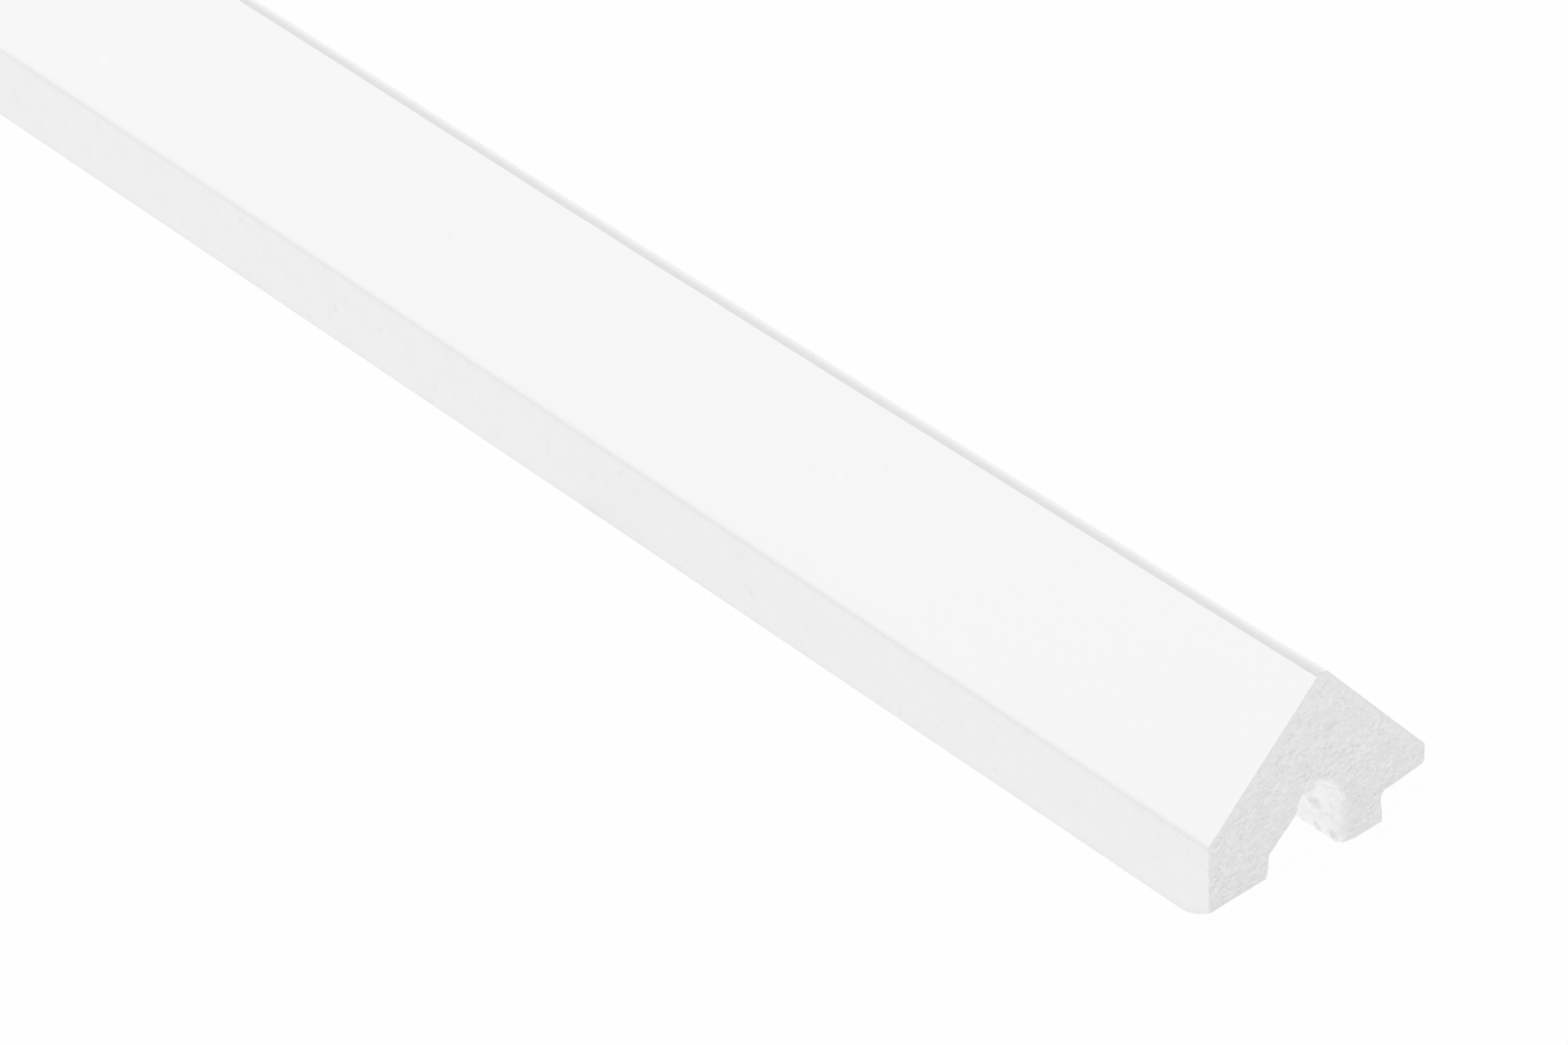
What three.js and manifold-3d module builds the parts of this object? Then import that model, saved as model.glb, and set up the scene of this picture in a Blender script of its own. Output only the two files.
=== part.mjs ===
// Wall panel end trim: one length of white moulded foam strip that closes the open edge of a slatted wall
// panel. Millimetres, +Z up. The strip lies on its back: its two feet rest on z = 0, the wall side. It runs
// along Y, its upright front face is at -X, and its wing, which laps over the panel, reaches out to +X.
// The origin is under the middle of the strip. The section is drawn with x from the front face and z from
// the wall side, then run along the length and moved to the middle.
import * as THREE from "three";
import { mergeVertices } from "three/addons/utils/BufferGeometryUtils.js";
import Module from "manifold-3d";

// Overall sizes.
const stripLength = 200;
const stripWidth = 27;

// The front: an upright face, a sloping main face above it and the soft arris between them.
const frontHeight = 9.3;
const mainFaceRun = 13.2;
const mainFaceTop = 21.15;
const arrisRadius = 0.7;

// The raised bead along the ridge, where the main face ends: its riser leans back a little, and its top
// falls towards the back slope.
const beadWidth = 1.4;
const beadRise = 0.4;
const riserLean = 0.3;
const beadFall = 0.45;
const beadRadius = 0.25;

// The wing at the end of the back slope, and the rebate under it that takes the panel's edge. The rebate's
// roof rises outwards by rebateTaper, and its side is undercut.
const rebateWidth = 5.25;
const rebateHeight = 4;
const rebateTaper = 0.45;
const rebateUndercut = 0.35;
const rebateFillet = 0.8;
const wingEdge = 2.2;
const wingTopRadius = 0.3;
const wingUnderRadius = 0.4;

// The two feet that meet the wall.
const frontFootWidth = 7;
const frontFootLean = 0.45;
const backFootWidth = 5.25;
const footRadius = 0.2;

// The groove between the feet: the front foot's side ends in a slope, the back foot's side is a straight
// wall, and one curve makes the roof between them. The curve leaves the slope towards its crown and meets
// the wall at its shoulder.
const grooveSideHeight = 4.3;
const grooveSlopeRun = 3.55;
const grooveSlopeRise = 2.65;
const grooveWallHeight = 5.3;
const roofCrownRun = 1.6;
const roofCrownRise = 3.95;
const roofShoulderRun = 0.5;
const roofShoulderRise = 2.1;

// The near end of the front foot is worn away in a long curve, and the corner of the back foot beside it
// is worn off flat.
const wornLength = 3.6;
const wornRise = 1.7;
const wornCorner = 1;

// How finely a round stretch is drawn, how far a cutter stands clear of what it cuts, how close two points
// are to count as one, and the most of a side that the round at its end may take.
const curveSegments = 6;
const cutterClearance = 1;
const weldDistance = 1e-4;
const roundShare = 0.45;

const foam = new THREE.MeshStandardMaterial({ color: 0xf4f4f3, roughness: 0.72, metalness: 0 });

const wasm = await Module();
wasm.setup();

// A corner of an outline: its place and the radius it is rounded to, where it isn't sharp.
function corner(x, z, radius = 0) {
  return { place: new THREE.Vector2(x, z), radius };
}

// Carries an outline to a corner and round it, by an arc that touches the sides to the places before and
// after it.
function addCorner(outline, before, { place, radius }, after) {
  if (radius === 0) {
    outline.lineTo(place.x, place.y);
    return;
  }
  const toBefore = before.place.clone().sub(place);
  const toAfter = after.place.clone().sub(place);
  const halfAngle = toBefore.angleTo(toAfter) / 2;
  const room = roundShare * Math.min(toBefore.length(), toAfter.length());
  const setback = Math.min(radius / Math.tan(halfAngle), room);
  const arcRadius = setback * Math.tan(halfAngle);
  const clockwise = toBefore.cross(toAfter) > 0;
  const start = toBefore.setLength(setback).add(place);
  const end = toAfter.setLength(setback).add(place);
  const inwards = start.clone().add(end).multiplyScalar(0.5).sub(place);
  const centre = inwards.setLength(arcRadius / Math.sin(halfAngle)).add(place);
  const startAngle = start.clone().sub(centre).angle();
  const endAngle = end.clone().sub(centre).angle();
  outline.lineTo(start.x, start.y);
  outline.absarc(centre.x, centre.y, arcRadius, startAngle, endAngle, clockwise);
}

// The strip's section, anticlockwise from the top of the groove's wall: back foot, rebate, wing, bead, main
// face, front face, front foot, groove slope and groove roof.
function stripSection() {
  const backFootOuter = stripWidth - rebateWidth;
  const grooveWall = backFootOuter - backFootWidth;
  const slopeFoot = frontFootWidth + frontFootLean;
  const wallTop = corner(grooveWall, grooveWallHeight);
  const slopeTop = corner(slopeFoot + grooveSlopeRun, grooveSideHeight + grooveSlopeRise);
  const corners = [
    wallTop,
    corner(grooveWall, 0, footRadius),
    corner(backFootOuter, 0, footRadius),
    corner(backFootOuter - rebateUndercut, rebateHeight - rebateTaper, rebateFillet),
    corner(stripWidth, rebateHeight, wingUnderRadius),
    corner(stripWidth, rebateHeight + wingEdge, wingTopRadius),
    corner(mainFaceRun + beadWidth, mainFaceTop + beadRise - beadFall, beadRadius),
    corner(mainFaceRun + riserLean, mainFaceTop + beadRise, beadRadius),
    corner(mainFaceRun, mainFaceTop),
    corner(0, frontHeight, arrisRadius),
    corner(0, 0, footRadius),
    corner(frontFootWidth, 0, footRadius),
    corner(slopeFoot, grooveSideHeight, footRadius),
    slopeTop,
  ];
  const outline = new THREE.Shape();
  outline.moveTo(wallTop.place.x, wallTop.place.y);
  for (let i = 1; i < corners.length - 1; i += 1) {
    addCorner(outline, corners[i - 1], corners[i], corners[i + 1]);
  }
  outline.lineTo(slopeTop.place.x, slopeTop.place.y);
  outline.bezierCurveTo(
    slopeTop.place.x + roofCrownRun,
    slopeTop.place.y + roofCrownRise,
    wallTop.place.x - roofShoulderRun,
    wallTop.place.y + roofShoulderRise,
    wallTop.place.x,
    wallTop.place.y,
  );
  return outline;
}

// An outline run straight for a depth, then turned so that its x, its y and its run point along the three
// directions given.
function runOutline(outline, depth, alongX, alongY, alongRun) {
  const geometry = new THREE.ExtrudeGeometry(outline, { depth, bevelEnabled: false, curveSegments });
  return geometry.applyMatrix4(new THREE.Matrix4().makeBasis(alongX, alongY, alongRun));
}

const right = new THREE.Vector3(1, 0, 0);
const away = new THREE.Vector3(0, 1, 0);
const up = new THREE.Vector3(0, 0, 1);

// The whole strip with both ends cut square, its middle over the origin.
function squareStrip() {
  const strip = runOutline(stripSection(), stripLength, right, up, away.clone().negate());
  return strip.translate(-stripWidth / 2, stripLength / 2, 0);
}

// What is worn off under the front foot at the near end: it starts wornLength from the end, curves up to
// wornRise at the end, and runs right across the foot into the groove.
function frontFootWear() {
  const outline = new THREE.Shape();
  outline.moveTo(-cutterClearance, -cutterClearance);
  outline.lineTo(wornLength, -cutterClearance);
  outline.lineTo(wornLength, 0);
  outline.quadraticCurveTo((wornLength * 2) / 3, 0, 0, wornRise);
  outline.lineTo(-cutterClearance, wornRise);
  const acrossFoot = frontFootWidth + frontFootLean + 2 * cutterClearance;
  const wear = runOutline(outline, acrossFoot, away, up, right);
  return wear.translate(-stripWidth / 2 - cutterClearance, -stripLength / 2, 0);
}

// What is worn off the back foot at the near end: the corner where its underside, its groove side and the
// end meet, cut across at wornCorner along each of the three edges.
function backFootWear() {
  const grooveWall = stripWidth - rebateWidth - backFootWidth;
  const side = 3 * wornCorner;
  const outwards = new THREE.Vector3(-1, -1, -1).normalize();
  const turn = new THREE.Quaternion().setFromUnitVectors(up, outwards);
  const cutDepth = wornCorner / Math.sqrt(3);
  const wear = new THREE.BoxGeometry(side, side, side);
  wear.translate(0, 0, side / 2 - cutDepth).applyQuaternion(turn);
  return wear.translate(grooveWall - stripWidth / 2, -stripLength / 2, 0);
}

// A closed mesh as a solid.
function toSolid(geometry) {
  geometry.deleteAttribute("normal");
  geometry.deleteAttribute("uv");
  const merged = mergeVertices(geometry, weldDistance);
  return new wasm.Manifold(
    new wasm.Mesh({
      numProp: 3,
      vertProperties: merged.getAttribute("position").array,
      triVerts: Uint32Array.from(merged.index.array),
    }),
  );
}

// A solid as the geometry of a mesh.
function toGeometry(solid) {
  const { vertProperties, triVerts } = solid.getMesh();
  const geometry = new THREE.BufferGeometry();
  geometry.setAttribute("position", new THREE.BufferAttribute(vertProperties, 3));
  geometry.setIndex(new THREE.BufferAttribute(triVerts, 1));
  geometry.computeVertexNormals();
  return geometry;
}

const wornStrip = toSolid(squareStrip())
  .subtract(toSolid(frontFootWear()))
  .subtract(toSolid(backFootWear()));

const strip = new THREE.Mesh(toGeometry(wornStrip), foam);
strip.name = "end_trim";

const endTrim = new THREE.Group();
endTrim.add(strip);

export default endTrim;
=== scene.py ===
"""Wall panel end trim, dressed: one length of white moulded foam strip, lying on its back on a white floor.

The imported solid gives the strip's place and its overall sizes. The strip is made again here as one closed
surface, with the relief, the wear and the finishes that the solid leaves out. Lengths are in millimetres
until a surface goes into a mesh: x from the front face, y from the sawn near end, z from the wall side.
"""

import logging
import math
from dataclasses import dataclass, field
from enum import Enum
from typing import Union

import bpy
import numpy as np
from mathutils import Matrix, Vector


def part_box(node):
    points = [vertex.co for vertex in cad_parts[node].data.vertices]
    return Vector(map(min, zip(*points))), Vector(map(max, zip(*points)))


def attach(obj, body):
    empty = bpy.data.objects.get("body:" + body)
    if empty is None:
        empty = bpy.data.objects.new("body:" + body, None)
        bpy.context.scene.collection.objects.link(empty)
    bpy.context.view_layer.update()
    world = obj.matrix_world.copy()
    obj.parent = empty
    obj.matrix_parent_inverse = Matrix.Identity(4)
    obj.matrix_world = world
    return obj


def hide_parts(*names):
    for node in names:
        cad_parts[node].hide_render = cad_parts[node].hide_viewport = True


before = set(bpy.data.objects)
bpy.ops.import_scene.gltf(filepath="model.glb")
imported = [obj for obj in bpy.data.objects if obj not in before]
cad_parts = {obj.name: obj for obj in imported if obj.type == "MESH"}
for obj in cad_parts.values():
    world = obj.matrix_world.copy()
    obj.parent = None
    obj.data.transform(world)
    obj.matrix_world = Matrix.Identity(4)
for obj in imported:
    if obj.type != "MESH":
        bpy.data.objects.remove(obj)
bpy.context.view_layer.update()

log = logging.getLogger("end_trim")

MILLIMETRE = 0.001
STRIP_NODE = "end_trim"
BODY = "root"
AROUND = "around"
CORE = "core"
SAW_ANGLE = math.radians(14.0)
WHITE = (1.0, 1.0, 1.0, 1.0)
# A noise node's detail: the coarsest layer alone, or with one finer layer
PLAINEST, PLAIN = 0.0, 1.0
# The detail and the roughness of a noise with more fine structure
DETAILED = (3.0, 0.6)


class Face(Enum):
    """The stretches of the strip's section, in order round it."""

    FRONT = "front face"
    MAIN = "main face"
    BEAD = "ridge bead"
    BACK = "back slope"
    WING = "wing's edge"
    REBATE = "rebate"
    BACK_FOOT = "back foot's underside"
    WALL = "groove's wall"
    ROOF = "groove's roof"
    SLOPE = "groove's slope"
    FOOT_SIDE = "front foot's groove side"
    FRONT_FOOT = "front foot's underside"


class Coat(Enum):
    """What a face of the mesh is finished with: its material's place in the mesh's list."""

    FILM = 0
    SAWN = 1
    RAW = 2


@dataclass(frozen=True)
class Surfacing:
    """How one stretch of the section is surfaced: its coat, how far its relief moves it, and how round its
    edge at the near end is worn."""

    coat: Coat
    relief: float
    softness: float


SURFACING = {
    Face.FRONT: Surfacing(Coat.FILM, 0.006, 0.05),
    Face.MAIN: Surfacing(Coat.FILM, 0.003, 0.04),
    Face.BEAD: Surfacing(Coat.FILM, 0.012, 0.05),
    Face.BACK: Surfacing(Coat.FILM, 0.012, 0.05),
    Face.WING: Surfacing(Coat.FILM, 0.015, 0.07),
    Face.REBATE: Surfacing(Coat.RAW, 0.05, 0.12),
    Face.BACK_FOOT: Surfacing(Coat.RAW, 0.06, 0.2),
    Face.WALL: Surfacing(Coat.RAW, 0.18, 0.85),
    Face.ROOF: Surfacing(Coat.RAW, 0.13, 0.85),
    Face.SLOPE: Surfacing(Coat.RAW, 0.09, 0.2),
    Face.FOOT_SIDE: Surfacing(Coat.RAW, 0.06, 0.1),
    Face.FRONT_FOOT: Surfacing(Coat.RAW, 0.02, 0.15),
}


def unit(vector: np.ndarray) -> np.ndarray:
    """The vector at length 1."""
    return vector / np.linalg.norm(vector)


def ease(value: np.ndarray) -> np.ndarray:
    """A smooth step: 0 below 0, 1 above 1, and 3 v squared less 2 v cubed between."""
    held = np.clip(value, 0.0, 1.0)
    return held * held * (3.0 - 2.0 * held)


def stand(name: str, data: bpy.types.ID) -> bpy.types.Object:
    """Stands a mesh, a light or a camera in the scene.

    Args:
        name: its object's name.
        data: the mesh, the light or the camera.

    Returns:
        Its object, at the origin.
    """
    made = bpy.data.objects.new(name, data)
    bpy.context.scene.collection.objects.link(made)
    return made


@dataclass(frozen=True)
class Grain:
    """Seeded noise on a lattice of unit cells, the same in every run."""

    seed: int

    PRIMES = np.array([73856093, 19349663, 83492791], dtype=np.uint64)
    SEED_PRIME = 7919
    DRAW_PRIME = 104729
    STIRS = ((15, 2246822519), (13, 3266489917), (16, 1))
    MASK = np.uint64(0xFFFFFFFF)
    OFFSET = 1 << 20
    LAYER_GROWTH = 2.03
    LAYER_SHIFT = 17.3

    def chance(self, cell: np.ndarray, draw: int = 0) -> np.ndarray:
        """A number from 0 to 1 for each lattice cell: its indices times large primes, added, and stirred by
        shifts and products.

        Args:
            cell: whole-number cell indices, on the last axis.
            draw: which of a cell's numbers is wanted.

        Returns:
            One number for each cell.
        """
        index = (cell + self.OFFSET).astype(np.uint64)
        mixed = (index * self.PRIMES[: cell.shape[-1]]).sum(axis=-1, dtype=np.uint64)
        mixed = (mixed + np.uint64(self.seed * self.SEED_PRIME + draw * self.DRAW_PRIME)) & self.MASK
        for shift, factor in self.STIRS:
            mixed = ((mixed ^ (mixed >> np.uint64(shift))) * np.uint64(factor)) & self.MASK
        return mixed.astype(float) / float(self.MASK)

    def smooth(self, points: np.ndarray) -> np.ndarray:
        """Noise from -1 to 1: the chances of the corners of a point's cell, blended by smooth steps.

        Args:
            points: places in cells, with two or three numbers on the last axis.

        Returns:
            One value for each point.
        """
        base = np.floor(points)
        part = ease(points - base)
        total = np.zeros(points.shape[:-1])
        for corner in np.ndindex(*(2,) * points.shape[-1]):
            share = np.where(np.array(corner, dtype=bool), part, 1.0 - part).prod(axis=-1)
            total += share * self.chance(base + np.array(corner))
        return 2.0 * total - 1.0

    def layered(self, points: np.ndarray, layers: int) -> np.ndarray:
        """Layers of smooth noise, each at about twice the fineness and half the strength of the last.

        Args:
            points: places in cells of the coarsest layer.
            layers: how many layers are added.

        Returns:
            One value for each point, from -1 to 1.
        """
        strengths = 0.5 ** np.arange(layers)
        total = np.zeros(points.shape[:-1])
        for layer, strength in enumerate(strengths):
            total += strength * self.smooth(points * self.LAYER_GROWTH**layer + self.LAYER_SHIFT * layer)
        return total / strengths.sum()

    def cells(self, points: np.ndarray) -> tuple[np.ndarray, np.ndarray]:
        """Foam cells in a plane: each lattice cell has one centre, and a point belongs to the nearest.

        Args:
            points: places in cells, with two numbers on the last axis.

        Returns:
            The distance to the nearest centre, and that cell's own chance.
        """
        base = np.floor(points)
        nearest = np.full(points.shape[:-1], np.inf)
        chance = np.zeros(points.shape[:-1])
        for corner in np.ndindex(3, 3):
            cell = base + np.array(corner) - 1
            centre = cell + np.stack([self.chance(cell, 1), self.chance(cell, 2)], axis=-1)
            distance = np.linalg.norm(points - centre, axis=-1)
            closer = distance < nearest
            nearest = np.where(closer, distance, nearest)
            chance = np.where(closer, self.chance(cell, 3), chance)
        return nearest, chance


@dataclass(frozen=True)
class Corner:
    """A corner of the section: where it is, its radius, how many steps its round and the side after it
    take, which face they belong to, and the two places that pull that side into a curve, if it is one."""

    x: float
    z: float
    radius: float
    round_steps: int
    side_steps: int
    face: Face
    pulls: tuple[tuple[float, float], ...] = ()


@dataclass(frozen=True)
class Section:
    """The strip's section, clockwise from under the front face. Its sizes are the solid's, but for a finer
    bead, and a wing and a groove side that follow the photo a little more closely."""

    strip_width: float
    fineness: int = 4
    front_height: float = 9.3
    main_face_run: float = 13.2
    main_face_top: float = 21.15
    arris_radius: float = 0.7
    main_margin: float = 0.12
    bead_width: float = 1.32
    bead_rise: float = 0.36
    riser_lean: float = 0.18
    bead_fall: float = 0.33
    bead_radius: float = 0.12
    rebate_width: float = 5.25
    rebate_height: float = 4.0
    rebate_taper: float = 0.45
    rebate_undercut: float = 0.35
    rebate_fillet: float = 0.8
    wing_edge: float = 2.08
    wing_top_radius: float = 0.3
    wing_under_radius: float = 0.4
    front_foot_width: float = 7.0
    front_foot_lean: float = 0.45
    back_foot_width: float = 5.25
    foot_radius: float = 0.2
    groove_side_height: float = 4.24
    groove_slope_run: float = 3.55
    groove_slope_rise: float = 2.65
    groove_wall_height: float = 5.3
    roof_crown: tuple[float, float] = (1.6, 3.95)
    roof_shoulder: tuple[float, float] = (0.5, 2.1)

    @property
    def back_foot_outer(self) -> float:
        """Where the back foot ends and the rebate starts."""
        return self.strip_width - self.rebate_width

    @property
    def groove_wall(self) -> float:
        """Where the groove ends and the back foot starts."""
        return self.back_foot_outer - self.back_foot_width

    def corners(self) -> list[Corner]:
        """The section's corners in order. The way over the arch and the way through the groove take the
        same number of steps, so that they can be joined across the sawn ends.

        Returns:
            The corners, clockwise as seen from the near end.
        """
        run, top = self.main_face_run, self.main_face_top
        rise = top - self.front_height
        margin = self.main_margin / math.hypot(run, rise)
        outer, wall = self.back_foot_outer, self.groove_wall
        slope_foot = self.front_foot_width + self.front_foot_lean
        slope_top = (slope_foot + self.groove_slope_run, self.groove_side_height + self.groove_slope_rise)
        crown = (slope_top[0] + self.roof_crown[0], slope_top[1] + self.roof_crown[1])
        shoulder = (wall - self.roof_shoulder[0], self.groove_wall_height + self.roof_shoulder[1])
        rebate_inner = self.rebate_height - self.rebate_taper
        wing_top = self.rebate_height + self.wing_edge
        bead_back = top + self.bead_rise - self.bead_fall
        foot = self.foot_radius
        return [
            Corner(0, 0, foot, 2, 12, Face.FRONT),
            Corner(0, self.front_height, self.arris_radius, 4, 25, Face.MAIN),
            Corner(run * (1 - margin), top - rise * margin, 0, 0, 1, Face.MAIN),
            Corner(run, top, 0, 0, 2, Face.BEAD),
            Corner(run + self.riser_lean, top + self.bead_rise, self.bead_radius, 3, 2, Face.BEAD),
            Corner(run + self.bead_width, bead_back, self.bead_radius, 2, 26, Face.BACK),
            Corner(self.strip_width, wing_top, self.wing_top_radius, 2, 2, Face.WING),
            Corner(self.strip_width, self.rebate_height, self.wing_under_radius, 3, 7, Face.REBATE),
            Corner(outer - self.rebate_undercut, rebate_inner, self.rebate_fillet, 4, 4, Face.REBATE),
            Corner(outer, 0, foot, 2, 20, Face.BACK_FOOT),
            Corner(wall, 0, foot, 2, 15, Face.WALL),
            Corner(wall, self.groove_wall_height, 0, 0, 52, Face.ROOF, (shoulder, crown)),
            Corner(*slope_top, 0, 0, 16, Face.SLOPE),
            Corner(slope_foot, self.groove_side_height, foot, 4, 12, Face.FOOT_SIDE),
            Corner(self.front_foot_width, 0, foot, 2, 20, Face.FRONT_FOOT),
        ]

    @staticmethod
    def touch(before: np.ndarray, at: np.ndarray, after: np.ndarray, radius: float) -> np.ndarray:
        """Where a round touches its two sides, and its centre: it starts radius / tan(half angle) from the
        corner, and its centre lies on the line that halves the angle.

        Args:
            before: the corner before.
            at: the corner that is rounded.
            after: the corner after.
            radius: the round's radius.

        Returns:
            The start, the end and the centre, one a row.
        """
        back, onward = unit(before - at), unit(after - at)
        half = 0.5 * math.acos(float(back @ onward))
        setback = radius / math.tan(half)
        centre = at + unit(back + onward) * radius / math.sin(half)
        return np.stack([at + back * setback, at + onward * setback, centre])

    @staticmethod
    def arc(touch: np.ndarray, steps: int) -> np.ndarray:
        """Places along a round: the centre plus the radius at evenly spaced angles, the shorter way.

        Args:
            touch: the start, the end and the centre, as touch() gives them.
            steps: how many steps it takes.

        Returns:
            The places, without the last.
        """
        start, end, centre = touch
        first = math.atan2(*(start - centre)[::-1])
        sweep = math.remainder(math.atan2(*(end - centre)[::-1]) - first, math.tau)
        angle = first + sweep * np.arange(steps) / steps
        radius = np.linalg.norm(start - centre)
        return centre + radius * np.stack([np.cos(angle), np.sin(angle)], axis=-1)

    @staticmethod
    def side(start: np.ndarray, pulls: np.ndarray, end: np.ndarray, steps: int) -> np.ndarray:
        """Places along a side: a straight blend of its ends, or a cubic curve when two places pull it.

        Args:
            start: where it starts.
            pulls: the two places that pull it, or none.
            end: where it ends.
            steps: how many steps it takes.

        Returns:
            The places, without the last.
        """
        t = (np.arange(steps) / steps)[:, None]
        if not len(pulls):
            return start + (end - start) * t
        s = 1.0 - t
        return s**3 * start + 3 * s**2 * t * pulls[0] + 3 * s * t**2 * pulls[1] + t**3 * end

    def ring(self) -> tuple[np.ndarray, list[Face]]:
        """The whole section as one closed row of places, and the face of the stretch that follows each.

        Returns:
            The places, and as many faces.
        """
        corners = self.corners()
        at = np.array([(c.x, c.z) for c in corners], dtype=float)
        touches = [
            self.touch(at[i - 1], at[i], at[(i + 1) % len(at)], c.radius) for i, c in enumerate(corners)
        ]
        places, faces = [], []
        for i, corner in enumerate(corners):
            next_start = touches[(i + 1) % len(corners)][0]
            pulls = np.array(corner.pulls, dtype=float)
            if corner.round_steps:
                places.append(self.arc(touches[i], corner.round_steps * self.fineness))
            places.append(self.side(touches[i][1], pulls, next_start, corner.side_steps * self.fineness))
            steps = (corner.round_steps + corner.side_steps) * self.fineness
            faces += [corner.face] * steps
        return np.concatenate(places), faces

    def arch_steps(self) -> int:
        """How many fine steps lead over the arch, from one foot's underside to the other's.

        Returns:
            The steps of every corner before the back foot's, and of that corner's round.
        """
        corners = self.corners()
        last = next(i for i, c in enumerate(corners) if c.face is Face.BACK_FOOT)
        return self.fineness * (
            sum(c.round_steps + c.side_steps for c in corners[:last]) + corners[last].round_steps
        )

    def foot_steps(self) -> int:
        """How many fine steps lead along a foot's underside."""
        return self.fineness * next(c.side_steps for c in self.corners() if c.face is Face.BACK_FOOT)


@dataclass
class MeshParts:
    """Vertices, faces and their coats as they gather, before they go into one mesh."""

    places: list[np.ndarray] = field(default_factory=list)
    around: list[np.ndarray] = field(default_factory=list)
    core: list[np.ndarray] = field(default_factory=list)
    faces: list[list[list[int]]] = field(default_factory=list)
    coats: list[np.ndarray] = field(default_factory=list)
    count: int = 0

    def add_places(self, places: np.ndarray, around: np.ndarray, core: np.ndarray) -> np.ndarray:
        """Adds vertices and gives their numbers.

        Args:
            places: their places, three numbers each, on the last axis.
            around: how far round the section each lies.
            core: how far inside a sawn end's edge each lies.

        Returns:
            Their numbers, in the shape of around.
        """
        numbers = self.count + np.arange(around.size).reshape(around.shape)
        self.places.append(places.reshape(-1, 3))
        self.around.append(around.ravel())
        self.core.append(core.ravel())
        self.count += around.size
        return numbers

    def add_faces(self, faces: np.ndarray, coats: np.ndarray) -> None:
        """Adds faces.

        Args:
            faces: the numbers of their vertices, one face a row.
            coats: the number of each face's coat.
        """
        self.faces.append(faces.tolist())
        self.coats.append(np.broadcast_to(coats, len(faces)))

    def mesh(self, name: str) -> bpy.types.Mesh:
        """All of it as one mesh, in metres.

        Args:
            name: the mesh's name.

        Returns:
            The mesh.
        """
        places = np.concatenate(self.places) * MILLIMETRE
        mesh = bpy.data.meshes.new(name)
        mesh.from_pydata(places, [], [face for group in self.faces for face in group])
        mesh.polygons.foreach_set("material_index", np.concatenate(self.coats).astype(np.int32))
        for label, values in ((AROUND, self.around), (CORE, self.core)):
            attribute = mesh.attributes.new(label, "FLOAT", "POINT")
            attribute.data.foreach_set("value", np.concatenate(values).astype(np.float32))
        mesh.update()
        return mesh


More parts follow.
